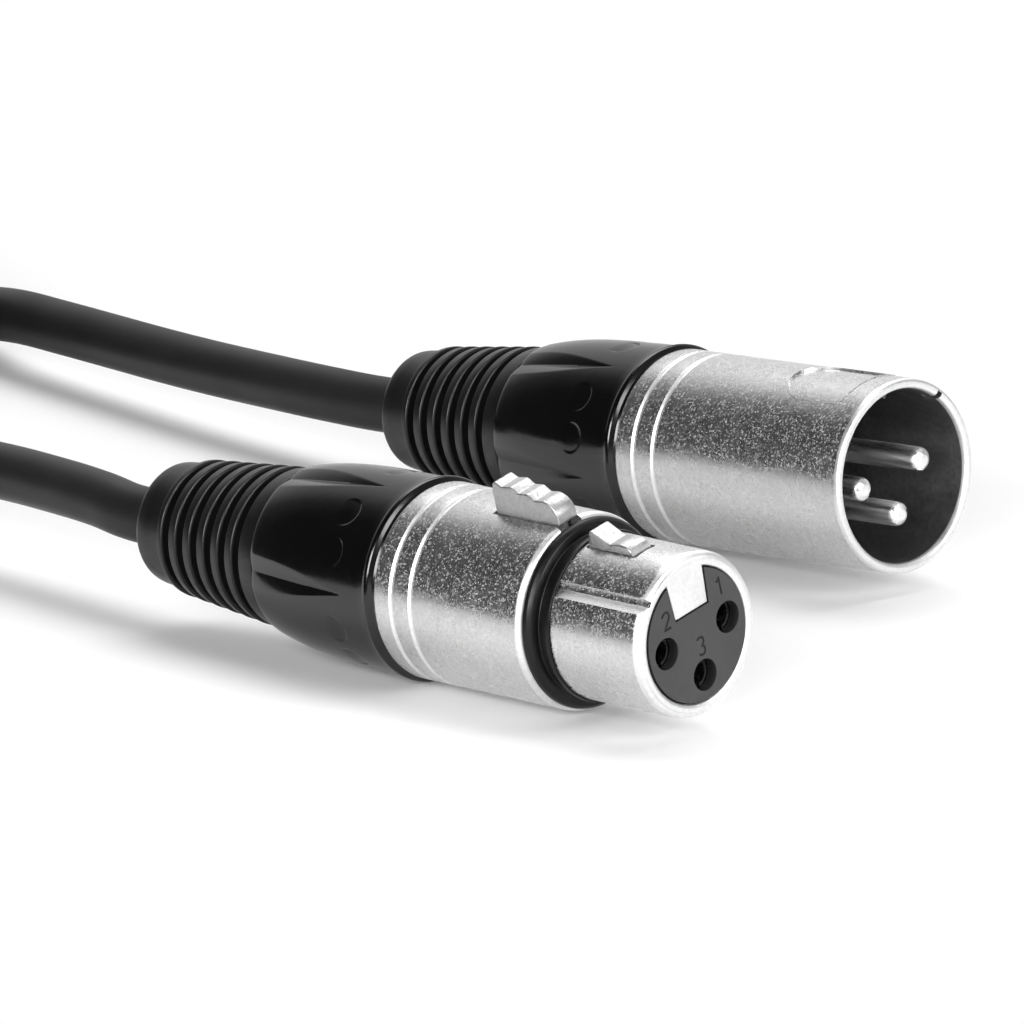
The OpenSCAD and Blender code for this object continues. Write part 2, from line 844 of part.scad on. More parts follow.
female_boot_x = -female_len - boot_back_t;
male_boot_x = -male_len - boot_back_t;
female_path = concat(
    [
        on_female_axis(-female_len - jacket_t),
        on_female_axis(-female_len - bushing_len),
        on_female_axis(female_boot_x),
        on_female_axis(female_boot_x - cable_d)
    ],
    female_route,
    [coil_out + (coil_out - coil_loop[coil_steps]), coil_out]
);
male_path = concat(
    [
        on_male_axis(-male_len - jacket_t),
        on_male_axis(-male_len - bushing_len),
        on_male_axis(male_boot_x),
        on_male_axis(male_boot_x - cable_d)
    ],
    male_route,
    [coil_in + (coil_in - coil_loop[0]) / 5, coil_in]
);
whole_len = path_len(female_path) + path_len(male_path) + path_len(coil_path);
echo(str("cable between the boots ", whole_len - 2 * (boot_back_t - jacket_t), " mm"));

module cable_female_end() {
    color([0.07, 0.07, 0.07]) tube(female_path, cable_r, 12);
}

module cable_male_end() {
    color([0.07, 0.07, 0.07]) tube(male_path, cable_r, 12);
}

module cable_coil() {
    color([0.07, 0.07, 0.07]) tube(coil_path, cable_r, 6);
}

// ---- strap round the coil ----

module round_slab(x0, x1, z0, z1, r) {
    translate([x0 + r, z0]) square([x1 - x0 - 2 * r, z1 - z0]);
    translate([x0, z0 + r]) square([x1 - x0, z1 - z0 - 2 * r]);
    for (x = [x0 + r, x1 - r], z = [z0 + r, z1 - r]) translate([x, z]) circle(r = r, $fn = 32);
}

module cable_tie() {
    outer_x = -coil_outer_r - cable_r - 0.5;
    inner_x = -sqrt(pow(coil_inner_r - cable_r, 2) - pow(tie_w / 2, 2)) + 0.6;
    top_z = coil_low_z + coil_pitch + cable_r + seat_gap;
    color([0.1, 0.1, 0.1]) translate([coil_x, coil_y, 0]) rotate([90, 0, 0])
        linear_extrude(tie_w, center = true) difference() {
            union() {
                round_slab(outer_x - tie_t, inner_x + tie_t, 0, top_z + tie_t, 3);
                translate([(outer_x + inner_x) / 2 - 4, top_z]) square([14, 2 * tie_t]);
            }
            round_slab(outer_x, inner_x, tie_t, top_z, 3 - tie_t);
        }
}

// ---- the part ----

female_shell();
female_insert();
female_contact(contact_places[0]);  // female_contact_1
female_contact(contact_places[1]);  // female_contact_2
female_contact(contact_places[2]);  // female_contact_3
female_latch();
latch_pin();
latch_spring();
female_nose_ring();
female_ground_lug();
female_chuck();
female_bushing();
female_boot();
female_wire(1, [0.75, 0.76, 0.78]);  // female_wire_1
female_wire(2, [0.75, 0.1, 0.08]);  // female_wire_2
female_wire(3, [0.92, 0.92, 0.9]);  // female_wire_3
male_shell();
male_insert();
male_pin(pin_places[0]);  // male_pin_1
male_pin(pin_places[1]);  // male_pin_2
male_pin(pin_places[2]);  // male_pin_3
male_ground_lug();
male_chuck();
male_bushing();
male_boot();
male_wire(1, [0.75, 0.76, 0.78]);  // male_wire_1
male_wire(2, [0.75, 0.1, 0.08]);  // male_wire_2
male_wire(3, [0.92, 0.92, 0.9]);  // male_wire_3
cable_female_end();
cable_coil();
cable_male_end();
cable_tie();
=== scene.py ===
import math

import bmesh
import bpy
from mathutils import Matrix, Vector


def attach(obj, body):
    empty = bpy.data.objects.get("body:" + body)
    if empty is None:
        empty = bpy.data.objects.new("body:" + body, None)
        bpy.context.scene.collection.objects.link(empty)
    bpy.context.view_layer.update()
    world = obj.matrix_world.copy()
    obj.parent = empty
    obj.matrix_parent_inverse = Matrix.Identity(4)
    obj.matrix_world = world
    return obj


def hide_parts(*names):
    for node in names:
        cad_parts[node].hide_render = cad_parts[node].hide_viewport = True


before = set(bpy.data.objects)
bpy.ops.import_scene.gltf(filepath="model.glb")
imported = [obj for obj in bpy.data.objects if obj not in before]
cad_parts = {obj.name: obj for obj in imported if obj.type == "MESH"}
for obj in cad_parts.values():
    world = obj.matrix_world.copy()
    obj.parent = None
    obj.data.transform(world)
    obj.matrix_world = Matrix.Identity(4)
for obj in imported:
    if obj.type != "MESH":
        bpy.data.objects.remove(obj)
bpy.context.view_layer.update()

# ---- studio ----
# A white table under soft light. The room is white behind and above and dim on the camera's left,
# so a bright cylinder on the table shows light, dark and light again from its top to its foot.
camera = bpy.data.objects.new("camera", bpy.data.cameras.new("camera"))
camera.data.lens = 703.122
camera.data.sensor_width = 36
camera.location = (1.315208, -1.336481, 0.426632)
camera.rotation_euler = (math.radians(77.463), 0, math.radians(44.662))
bpy.context.scene.collection.objects.link(camera)
bpy.context.scene.camera = camera
bpy.context.scene.view_settings.view_transform = "Standard"


def new_tree(holder):
    """The empty node tree of a material or world."""
    holder.use_nodes = True
    for node in list(holder.node_tree.nodes):
        holder.node_tree.nodes.remove(node)
    return holder.node_tree


def linked(tree, kind, inputs=None, **settings):
    """A new node with its settings, and values or links on its inputs."""
    node = tree.nodes.new(kind)
    for key, value in settings.items():
        setattr(node, key, value)
    for key, value in (inputs or {}).items():
        if isinstance(value, bpy.types.NodeSocket):
            tree.links.new(value, node.inputs[key])
        else:
            node.inputs[key].default_value = value
    return node


def ramp(tree, factor, *stops):
    """A colour that follows a factor, each stop (position, grey) or (position, (r, g, b))."""
    node = linked(tree, "ShaderNodeValToRGB", {"Fac": factor})
    while len(node.color_ramp.elements) < len(stops):
        node.color_ramp.elements.new(1)
    for element, (position, shade) in zip(node.color_ramp.elements, stops):
        element.position = position
        element.color = (*(shade if isinstance(shade, tuple) else (shade, shade, shade)), 1)
    return node.outputs["Color"]


world = bpy.data.worlds.new("white_room")
bpy.context.scene.world = world
tree = new_tree(world)
direction = linked(tree, "ShaderNodeTexCoord").outputs["Generated"]
dim_side = linked(
    tree,
    "ShaderNodeVectorMath",
    {0: direction, 1: (-0.25, -0.95, 0.18)},
    operation="DOT_PRODUCT",
).outputs["Value"]
share = linked(
    tree, "ShaderNodeMapRange", {"Value": dim_side, "From Min": -1, "From Max": 1}
).outputs["Result"]
room_light = ramp(tree, share, (0.0, 0.84), (0.5, 0.78), (0.58, 0.6), (0.68, 0.17), (0.78, 0.06))
along = linked(tree, "ShaderNodeSeparateXYZ", {"Vector": direction}).outputs["X"]
far_end = linked(
    tree,
    "ShaderNodeMapRange",
    {"Value": along, "From Min": -0.4, "From Max": 0.4, "To Min": 1, "To Max": 0.3},
).outputs["Result"]
path = linked(tree, "ShaderNodeLightPath")
room = linked(tree, "ShaderNodeBackground", {"Color": room_light, "Strength": far_end})
backdrop = linked(tree, "ShaderNodeBackground", {"Color": (1, 1, 1, 1), "Strength": 1.0})
seen = linked(
    tree,
    "ShaderNodeMixShader",
    {0: path.outputs["Is Camera Ray"], 1: room.outputs[0], 2: backdrop.outputs[0]},
)
linked(tree, "ShaderNodeOutputWorld", {"Surface": seen.outputs[0]})

TABLE_HALF = 3
TABLE_FRONT_Y = -0.085
floor_form = bmesh.new()
bmesh.ops.create_grid(floor_form, x_segments=1, y_segments=1, size=TABLE_HALF)
bmesh.ops.translate(
    floor_form, verts=floor_form.verts, vec=(0, TABLE_FRONT_Y + TABLE_HALF, -0.00003)
)
floor_mesh = bpy.data.meshes.new("table_top")
floor_form.to_mesh(floor_mesh)
floor_form.free()
table_top = bpy.data.objects.new("table_top", floor_mesh)
bpy.context.scene.collection.objects.link(table_top)
white_table = bpy.data.materials.new("white_table")
tree = new_tree(white_table)
path = linked(tree, "ShaderNodeLightPath")
seen_or_mirrored = linked(
    tree,
    "ShaderNodeMath",
    {0: path.outputs["Is Camera Ray"], 1: path.outputs["Is Glossy Ray"]},
    operation="MAXIMUM",
)
seen_or_through = linked(
    tree,
    "ShaderNodeMath",
    {0: seen_or_mirrored.outputs[0], 1: path.outputs["Is Transmission Ray"]},
    operation="MAXIMUM",
)
top = linked(tree, "ShaderNodeBsdfDiffuse", {"Color": (0.87, 0.87, 0.87, 1)})
lift = linked(tree, "ShaderNodeEmission", {"Color": (1, 1, 1, 1), "Strength": 0.06})
lifted = linked(tree, "ShaderNodeAddShader", {0: top.outputs[0], 1: lift.outputs[0]})
shown = linked(
    tree,
    "ShaderNodeMixShader",
    {0: seen_or_through.outputs[0], 1: top.outputs[0], 2: lifted.outputs[0]},
)
linked(tree, "ShaderNodeOutputMaterial", {"Surface": shown.outputs[0]})
floor_mesh.materials.append(white_table)


def soft_box(name, place, aim, width, height, watts):
    """A rectangular area lamp that faces a point."""
    lamp = bpy.data.lights.new(name, "AREA")
    lamp.shape = "RECTANGLE"
    lamp.size, lamp.size_y = width, height
    lamp.energy = watts
    box = bpy.data.objects.new(name, lamp)
    box.location = place
    box.rotation_euler = (Vector(aim) - Vector(place)).to_track_quat("-Z", "Y").to_euler()
    bpy.context.scene.collection.objects.link(box)


soft_box("soft_box_above", (-0.2, 0.35, 0.9), (0, 0, 0), 0.8, 0.6, 5.6)
soft_box("soft_box_front", (0.45, -0.85, 0.3), (0, 0, 0), 0.6, 0.4, 11)
soft_box("soft_box_right", (0.9, 0.05, 0.4), (0.03, 0, 0.01), 0.5, 0.4, 5.2)

# ---- cable ----
# A round microphone cable of 5.5 mm with a satin black PVC jacket, one length from boot to boot.
# It leaves each boot straight, and its spare length is wound into a coil of two layers.
CABLE_D = 5.5
SOCKET_SHELL_LEN = 33.4
PLUG_SHELL_LEN = 30
BOOT_END = 36.3
AXIS_Z = 9.9
SOCKET_FRONT = (47.56, -29.15, AXIS_Z)
SOCKET_EXIT_X = SOCKET_FRONT[0] - SOCKET_SHELL_LEN - BOOT_END
PLUG_EXIT_X = -47.298
PLUG_LEN = PLUG_SHELL_LEN + BOOT_END
PLUG_TILT = math.radians(3)
RIM_BEHIND_PLUG = 31.1
PLUG_FRONT = (
    PLUG_EXIT_X + PLUG_LEN * math.cos(PLUG_TILT),
    29.14,
    AXIS_Z + RIM_BEHIND_PLUG * math.sin(PLUG_TILT),
)
IN_BOOT = 12


def behind_plug(distance):
    """The point on the plug's axis so far behind its front."""
    return (
        PLUG_FRONT[0] - distance * math.cos(PLUG_TILT),
        PLUG_FRONT[1],
        PLUG_FRONT[2] - distance * math.sin(PLUG_TILT),
    )


SOCKET_ROUTE = [
    (-33.3, -28.2, 10.2), (-41.3, -26.7, 10.15), (-50.3, -25.4, 9.95), (-60.3, -24.9, 9.6),
    (-71.3, -25.3, 9.2), (-83.3, -26.8, 8.9), (-97, -29.2, 8.8), (-110, -31.8, 9), (-122, -34, 9.3),
]
PLUG_ROUTE = [
    (-60.3, 29.9, 7.45), (-69.3, 31, 7.15), (-79.3, 32.5, 6.8), (-88.3, 34.2, 6.5),
    (-97.3, 36.1, 6.25), (-106.5, 38, 6), (-115.5, 40.2, 5.55),
]
COIL_X, COIL_Y = -147, 6
COIL_START = 72
COIL_TURNS = 6.56
COIL_INNER_R = 22.3
COIL_PITCH = CABLE_D + 0.45
TIE_T = 0.8
TIE_GAP = 0.1
COIL_LOW_Z = TIE_T + TIE_GAP + CABLE_D / 2
COIL_STEPS = round(COIL_TURNS * 24)
LAYER_CLIMB = 0.5


def eased(value):
    """0 to 1 with soft ends."""
    value = min(max(value, 0), 1)
    return value * value * (3 - 2 * value)


def coil_point(step):
    """Inwards on the lower layer, then up and outwards on the upper one."""
    turns = step * COIL_TURNS / COIL_STEPS
    angle = math.radians(COIL_START + 360 * turns)
    radius = COIL_INNER_R + COIL_PITCH * abs(COIL_TURNS / 2 - turns)
    rise = eased((turns - COIL_TURNS / 2) / LAYER_CLIMB + 0.5)
    return Vector(
        (
            COIL_X + radius * math.cos(angle),
            COIL_Y + radius * math.sin(angle),
            COIL_LOW_Z + COIL_PITCH * rise,
        )
    )


def straight_on(before, last):
    """One cable diameter further on, level."""
    ahead = last - before
    ahead.z = 0
    return ahead.normalized() * CABLE_D


coil = [coil_point(step) for step in range(COIL_STEPS + 1)]
coil_in = coil[0] + straight_on(coil[1], coil[0])
coil_out = coil[-1] + straight_on(coil[-2], coil[-1])
cable_points = [
    (SOCKET_EXIT_X + IN_BOOT, *SOCKET_FRONT[1:]),
    (SOCKET_EXIT_X, *SOCKET_FRONT[1:]),
    (SOCKET_EXIT_X - CABLE_D, *SOCKET_FRONT[1:]),
    *SOCKET_ROUTE,
    coil_out + straight_on(coil[-1], coil_out),
    coil_out,
    *reversed(coil),
    coil_in,
    coil_in + straight_on(coil[0], coil_in) / 5,
    *reversed(PLUG_ROUTE),
    behind_plug(PLUG_LEN + CABLE_D),
    behind_plug(PLUG_LEN),
    behind_plug(PLUG_LEN - IN_BOOT),
]
cable_line = bpy.data.curves.new("cable", "CURVE")
cable_line.dimensions = "3D"
cable_line.bevel_depth = CABLE_D / 2000
cable_line.bevel_resolution = 10
cable_line.resolution_u = 8
spline = cable_line.splines.new("BEZIER")
spline.bezier_points.add(len(cable_points) - 1)
for knot, point in zip(spline.bezier_points, cable_points):
    knot.co = Vector(point) / 1000
    knot.handle_left_type = knot.handle_right_type = "AUTO"
cable = bpy.data.objects.new("cable", cable_line)
bpy.context.scene.collection.objects.link(cable)


def grain(tree, scale, detail=3):
    """Noise in the piece's own coordinates, with so many grains to the metre."""
    place = linked(tree, "ShaderNodeTexCoord").outputs["Object"]
    inputs = {"Vector": place, "Scale": scale, "Detail": detail}
    return linked(tree, "ShaderNodeTexNoise", inputs).outputs["Fac"]


def spread(tree, factor, low, high):
    """A noise factor stretched over a range of values."""
    return linked(
        tree,
        "ShaderNodeMapRange",
        {"Value": factor, "From Min": 0.3, "From Max": 0.7, "To Min": low, "To Max": high},
    ).outputs["Result"]


def bumped(tree, height, distance, under=None):
    """A normal raised by a height, the distance in metres."""
    inputs = {"Height": height, "Distance": distance}
    if under:
        inputs["Normal"] = under
    return linked(tree, "ShaderNodeBump", inputs).outputs["Normal"]


def finished(tree, **inputs):
    """The surface shader, with its sockets named in words, and the output."""
    named = {key.replace("_", " "): value for key, value in inputs.items()}
    shader = linked(tree, "ShaderNodeBsdfPrincipled", named)
    linked(tree, "ShaderNodeOutputMaterial", {"Surface": shader.outputs[0]})


jacket = bpy.data.materials.new("cable_jacket")
tree = new_tree(jacket)
finished(
    tree,
    Base_Color=ramp(tree, grain(tree, 180), (0.3, 0.009), (0.7, 0.012)),
    Roughness=spread(tree, grain(tree, 70, 4), 0.42, 0.56),
    Specular_IOR_Level=0.3,
    Normal=bumped(tree, grain(tree, 3200), 0.00001),
)
cable_line.materials.append(jacket)
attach(cable, "root")
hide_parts("cable_female_end", "cable_coil", "cable_male_end")


# ---- cable tie ----
# A strap of hook-and-loop fabric, 12 mm wide and 0.8 mm thick, that goes once round the coil
# and holds it flat.
def as_piece(name, form, place, sharp=35):
    """A form in millimetres moved to its place as a finished object, smooth up to an angle."""
    bmesh.ops.recalc_face_normals(form, faces=form.faces)
    bmesh.ops.transform(form, matrix=Matrix.Scale(0.001, 4) @ place, verts=form.verts)
    mesh = bpy.data.meshes.new(name)
    form.to_mesh(mesh)
    form.free()
    mesh.shade_smooth()
    mesh.set_sharp_from_angle(angle=math.radians(sharp))
    piece = bpy.data.objects.new(name, mesh)
    bpy.context.scene.collection.objects.link(piece)
    return piece


def outlined(form, corners, segments):
    """A closed outline of corners (point, rounding), rounded off where there is a rounding."""
    spots = [form.verts.new(point) for point, _ in corners]
    for pair in zip(spots, spots[1:] + spots[:1]):
        form.edges.new(pair)
    roundings = {}
    for spot, (_, rounding) in zip(spots, corners):
        if rounding:
            roundings.setdefault(rounding, []).append(spot)
    for rounding, rounded in roundings.items():
        bmesh.ops.bevel(
            form,
            geom=rounded,
            offset=rounding,
            offset_type="OFFSET",
            affect="VERTICES",
            segments=segments,
            profile=0.5,
            material=-1,
        )


def drawn_out(form, grown, vec):
    """Moves the corners that an extrusion has just made."""
    moved = [item for item in grown["geom"] if isinstance(item, bmesh.types.BMVert)]
    bmesh.ops.translate(form, verts=moved, vec=vec)


TIE_W = 12
COIL_OUTER_R = COIL_INNER_R + COIL_PITCH * COIL_TURNS / 2
TIE_OUT_X = -COIL_OUTER_R - CABLE_D / 2 - 0.5 - TIE_T
TIE_IN_X = -math.sqrt((COIL_INNER_R - CABLE_D / 2) ** 2 - (TIE_W / 2) ** 2) + 0.6 + TIE_T
TIE_TOP_Z = COIL_LOW_Z + COIL_PITCH + CABLE_D / 2 + TIE_GAP + TIE_T
TIE_CORNER_R = 3

tie_form = bmesh.new()
corners = [(TIE_OUT_X, 0), (TIE_IN_X, 0), (TIE_IN_X, TIE_TOP_Z), (TIE_OUT_X, TIE_TOP_Z)]
outlined(tie_form, [((x, -TIE_W / 2, z), TIE_CORNER_R) for x, z in corners], 12)
band = bmesh.ops.extrude_edge_only(tie_form, edges=tie_form.edges[:])
drawn_out(tie_form, band, (0, TIE_W, 0))
tie = as_piece("cable_tie_strap", tie_form, Matrix.Translation((COIL_X, COIL_Y, 0)), 60)
wall = tie.modifiers.new("thickness", "SOLIDIFY")
wall.thickness = TIE_T / 1000
wall.offset = -1
hem = tie.modifiers.new("soft_edges", "BEVEL")
hem.width = 0.0002
hem.segments = 2
fabric = bpy.data.materials.new("tie_fabric")
tree = new_tree(fabric)
place = linked(tree, "ShaderNodeTexCoord").outputs["Object"]
loops = linked(tree, "ShaderNodeTexVoronoi", {"Vector": place, "Scale": 2200}).outputs["Distance"]
finished(
    tree,
    Base_Color=ramp(tree, loops, (0.0, 0.035), (0.8, 0.008)),
    Roughness=0.9,
    Sheen_Weight=0.3,
    Normal=bumped(tree, loops, 0.00014),
)
tie.data.materials.append(fabric)
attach(tie, "root")
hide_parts("cable_tie")

# ---- contacts ----
# The socket has three split sleeves and the plug three round pins, turned from brass and plated
# with silver. Each ends in a solder cup at the back.
plated = bpy.data.materials.new("silver_plate")
tree = new_tree(plated)
finished(
    tree,
    Base_Color=ramp(tree, grain(tree, 500), (0.3, 0.36), (0.7, 0.46)),
    Metallic=1.0,
    Roughness=spread(tree, grain(tree, 900, 4), 0.16, 0.3),
    Normal=bumped(tree, grain(tree, 5000), 0.000004),
)


def dress(node, material):
    """Gives a CAD node its material."""
    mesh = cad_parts[node].data
    mesh.materials.clear()
    mesh.materials.append(material)


for number in (1, 2, 3):
    dress(f"female_contact_{number}", plated)


def turned(outline, steps=192, angle=math.tau):
    """A form turned about X from a closed outline of (x, radius) or (x, radius, rounding)."""
    form = bmesh.new()
    outlined(form, [((x, 0, radius), sum(rounding)) for x, radius, *rounding in outline], 4)
    bmesh.ops.spin(
        form,
        geom=form.verts[:] + form.edges[:],
        cent=(0, 0, 0),
        axis=(1, 0, 0),
        dvec=(0, 0, 0),
        angle=angle,
        steps=steps,
        use_merge=angle == math.tau,
        use_duplicate=False,
    )
    bmesh.ops.remove_doubles(form, verts=form.verts, dist=0.0001)
    bmesh.ops.recalc_face_normals(form, faces=form.faces)
    return form


SOCKET_PLACE = Matrix.Translation(SOCKET_FRONT) @ Matrix.Rotation(math.radians(15.5), 4, "X")
PLUG_PLACE = (
    Matrix.Translation(PLUG_FRONT)
    @ Matrix.Rotation(-PLUG_TILT, 4, "Y")
    @ Matrix.Rotation(math.radians(11.6), 4, "X")
)
PIN_TIP_X = -1.38
pin_side = bpy.data.materials.new("pin_silver")
tree = new_tree(pin_side)
place = linked(tree, "ShaderNodeTexCoord").outputs["Object"]
drawn = linked(tree, "ShaderNodeMapping", {"Vector": place, "Scale": (0.06, 1, 1)}).outputs[0]
drawn = linked(tree, "ShaderNodeTexNoise", {"Vector": drawn, "Scale": 1400}).outputs["Fac"]
finished(
    tree,
    Base_Color=ramp(tree, grain(tree, 500), (0.3, 0.84), (0.7, 0.92)),
    Metallic=1.0,
    Roughness=spread(tree, drawn, 0.2, 0.7),
    Normal=bumped(tree, grain(tree, 5000), 0.000004),
)
for number, (y, z) in enumerate([(-4.22, 0), (4.22, 0), (0, -4.09)], 1):
    pin_form = turned(
        [
            (PIN_TIP_X, 0),
            (PIN_TIP_X, 0.55, 0.1),
            (PIN_TIP_X - 0.35, 1.08, 0.12),
            (PIN_TIP_X - 0.7, 1.2, 0.15),
            (-16, 1.2),
            (-16, 1.55, 0.1),
            (-24.7, 1.55, 0.1),
            (-24.7, 1.2),
            (-32.4, 1.2, 0.08),
            (-32.4, 0.85, 0.08),
            (-29.4, 0.85, 0.2),
            (-29.4, 0),
        ],
        64,
    )
    pin = as_piece(f"plug_pin_{number}", pin_form, PLUG_PLACE @ Matrix.Translation((0, y, z)))
    pin.data.materials.append(pin_side)
    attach(pin, "root")
    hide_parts(f"male_pin_{number}")

# ---- inserts ----
# Dark grey moulded nylon. The socket's fills its nose, with a hole and an engraved numeral for
# each contact, and the plug's carries the pins in three bosses. Both are matt. The socket's holes
# and numerals carry painted shade that darkens with their depth, and the plug's is painted near
# black as shade deep in its mouth.
# Depths behind the socket's face where the painted shade in its holes and numerals starts and is
# darkest.
HOLE_SHADE_FROM = 0.06
HOLE_SHADE_DEEPEST = 0.9
moulded = bpy.data.materials.new("insert_nylon")
tree = new_tree(moulded)
place = linked(tree, "ShaderNodeTexCoord").outputs["Object"]
# Painted shade: the colour darkens behind the insert's face, into the numerals and the holes.
depth = linked(
    tree,
    "ShaderNodeMapRange",
    {
        "Value": linked(tree, "ShaderNodeSeparateXYZ", {"Vector": place}).outputs["X"],
        "From Min": (SOCKET_FRONT[0] - HOLE_SHADE_DEEPEST) / 1000,
        "From Max": (SOCKET_FRONT[0] - HOLE_SHADE_FROM) / 1000,
    },
).outputs["Result"]
shade = linked(
    tree,
    "ShaderNodeVectorMath",
    {
        0: ramp(tree, grain(tree, 260), (0.3, 0.046), (0.7, 0.054)),
        1: ramp(tree, depth, (0.0, 0.03), (0.9, 0.25), (0.98, 1.0)),
    },
    operation="MULTIPLY",
).outputs["Vector"]
finished(
    tree,
    Base_Color=shade,
    Roughness=spread(tree, grain(tree, 1500), 0.5, 0.62),
    Specular_IOR_Level=0.3,
    Normal=bumped(tree, grain(tree, 6000), 0.000012),
)
dress("female_insert", moulded)
# The plug's insert is the same nylon, painted near black as shade deep in its mouth.
plug_nylon_painted_shade = bpy.data.materials.new("plug_insert_painted_shade")
tree = new_tree(plug_nylon_painted_shade)
finished(
    tree,
    Base_Color=ramp(tree, grain(tree, 260), (0.3, 0.008), (0.7, 0.011)),
    Roughness=spread(tree, grain(tree, 1500), 0.45, 0.6),
    Normal=bumped(tree, grain(tree, 6000), 0.000012),
)
dress("male_insert", plug_nylon_painted_shade)

# ---- wires, lugs and chucks ----
# Inside each connector a tinned screen lead and a red and a white core run to the solder cups, a
# sprung lug of tinned brass earths the shell, and a slit nylon chuck grips the jacket.
for name, colour, darker, nodes in (
    ("tinned_lead", (0.52, 0.53, 0.55), (0.4, 0.41, 0.42), ("female_wire_1", "male_wire_1")),
    ("red_core", (0.45, 0.01, 0.008), (0.36, 0.008, 0.007), ("female_wire_2", "male_wire_2")),
    ("white_core", (0.75, 0.75, 0.72), (0.66, 0.66, 0.62), ("female_wire_3", "male_wire_3")),
    ("chuck_nylon", (0.013, 0.013, 0.014), (0.01, 0.01, 0.01), ("female_chuck", "male_chuck")),
):
    plastic = bpy.data.materials.new(name)
    tree = new_tree(plastic)
    finished(
        tree,
        Base_Color=ramp(tree, grain(tree, 700), (0.3, darker), (0.7, colour)),
        Roughness=spread(tree, grain(tree, 1200), 0.35, 0.5),
        Normal=bumped(tree, grain(tree, 4000), 0.000008),
    )
    for node in nodes:
        dress(node, plastic)
tinned = bpy.data.materials.new("tinned_brass")
tree = new_tree(tinned)
finished(
    tree,
    Base_Color=ramp(tree, grain(tree, 800), (0.3, 0.5), (0.7, 0.62)),
    Metallic=1.0,
    Roughness=spread(tree, grain(tree, 1500), 0.25, 0.45),
    Normal=bumped(tree, grain(tree, 4000), 0.000006),
)
dress("female_ground_lug", tinned)
dress("male_ground_lug", tinned)


# ---- shells ----
# Zinc castings turned to size, sand-blasted and plated with nickel. The front rims, the edges and
# two lines near the back are cut bright after the blasting. The socket's has a key groove and
# slots for the latch, the plug's a key ridge, a notch in its rim and a bare oval recess.
def blank_solid(form):
    """A form as a plain object, for cutting."""
    bmesh.ops.recalc_face_normals(form, faces=form.faces)
    mesh = bpy.data.meshes.new("blank")
    form.to_mesh(mesh)
    form.free()
    solid = bpy.data.objects.new("blank", mesh)
    bpy.context.scene.collection.objects.link(solid)
    return solid


def machined(form, cuts=(), additions=()):
    """The form with some forms cut away and others joined on."""
    work = blank_solid(form)
    tools = [(blank_solid(cut), "DIFFERENCE") for cut in cuts]
    tools += [(blank_solid(part), "UNION") for part in additions]
    for tool, operation in tools:
        step = work.modifiers.new("machining", "BOOLEAN")
        step.object = tool
        step.operation = operation
        step.solver = "MANIFOLD"
    bpy.context.view_layer.update()
    graph = bpy.context.evaluated_depsgraph_get()
    result = bpy.data.meshes.new_from_object(work.evaluated_get(graph))
    form = bmesh.new()
    form.from_mesh(result)
    for solid in [work, *(tool for tool, _ in tools)]:
        mesh = solid.data
        bpy.data.objects.remove(solid)
        bpy.data.meshes.remove(mesh)
    bpy.data.meshes.remove(result)
    return form


def block(x0, x1, half, z0, z1, turn=0.0, rounding=0.0):
    """A block about the XZ plane, turned about X, with its edges rounded."""
    form = bmesh.new()
    size = Matrix.Diagonal((x1 - x0, 2 * half, z1 - z0, 1))
    middle = Matrix.Translation(((x0 + x1) / 2, 0, (z0 + z1) / 2))
    bmesh.ops.create_cube(form, size=1, matrix=middle @ size)
    if rounding:
        bmesh.ops.bevel(
            form,
            geom=form.edges[:],
            offset=rounding,
            affect="EDGES",
            segments=3,
            profile=0.5,
            material=-1,
        )
    bmesh.ops.transform(
        form, matrix=Matrix.Rotation(math.radians(turn), 4, "X"), verts=form.verts
    )
    return form


SHELL_R = 9.5
LINE_DEPTH = 0.2
GROOVE_TURN = math.radians(45)


def turned_line(x):
    """The outline of a bright line cut round a shell."""
    return [
        (x + 0.3, SHELL_R, 0.03),
        (x + 0.1, SHELL_R - LINE_DEPTH, 0.05),
        (x - 0.1, SHELL_R - LINE_DEPTH, 0.05),
        (x - 0.3, SHELL_R, 0.03),
    ]


def nickel(name, rough, grey, blast):
    """Nickel plate with fine grain, its scattered frosted grains so much rougher than the rest."""
    plate = bpy.data.materials.new(name)
    tree = new_tree(plate)
    waves = bumped(tree, grain(tree, 260, 2), 0.00002)
    fine = bumped(tree, grain(tree, 7000, 2), 0.000009, waves)
    place = linked(tree, "ShaderNodeTexCoord").outputs["Object"]
    cells = linked(tree, "ShaderNodeTexVoronoi", {"Vector": place, "Scale": 7200})
    frosted = linked(
        tree,
        "ShaderNodeMapRange",
        {
            "Value": cells.outputs["Color"],
            "From Min": 0.6,
            "From Max": 0.95,
            "To Min": spread(tree, grain(tree, 600, 4), rough - 0.05, rough + 0.05),
            "To Max": rough + blast,
        },
    ).outputs["Result"]
    finished(
        tree,
        Base_Color=ramp(tree, grain(tree, 2500), (0.3, grey - 0.06), (0.7, grey + 0.03)),
        Metallic=1.0,
        Roughness=frosted,
        Normal=fine,
    )
    return plate


blasted = nickel("blasted_nickel", 0.28, 0.68, 0.55)
bright = nickel("bright_nickel", 0.45, 0.85, 0.1)


def cut_bright(piece, place, zones):
    """Gives the bright finish to the key groove and to zones (back, front, least radius)."""
    piece.data.materials.append(blasted)
    piece.data.materials.append(bright)
    back = (Matrix.Scale(0.001, 4) @ place).inverted()
    for face in piece.data.polygons:
        x, y, z = back @ face.center
        radius = math.hypot(y, z)
        off_groove = abs(math.atan2(-y, z) - GROOVE_TURN)
        in_groove = 7.45 < radius < 7.97 and x > -14 and off_groove < 0.14
        if in_groove or any(x0 < x < x1 and radius > least for x0, x1, least in zones):
            face.material_index = 1


def bar(corners, front, length):
    """A bar with corners (y, z), so long backwards along X from its front."""
    form = bmesh.new()
    end = form.faces.new([form.verts.new((front, y, z)) for y, z in corners])
    drawn_out(form, bmesh.ops.extrude_face_region(form, geom=[end]), (-length, 0, 0))
    return form


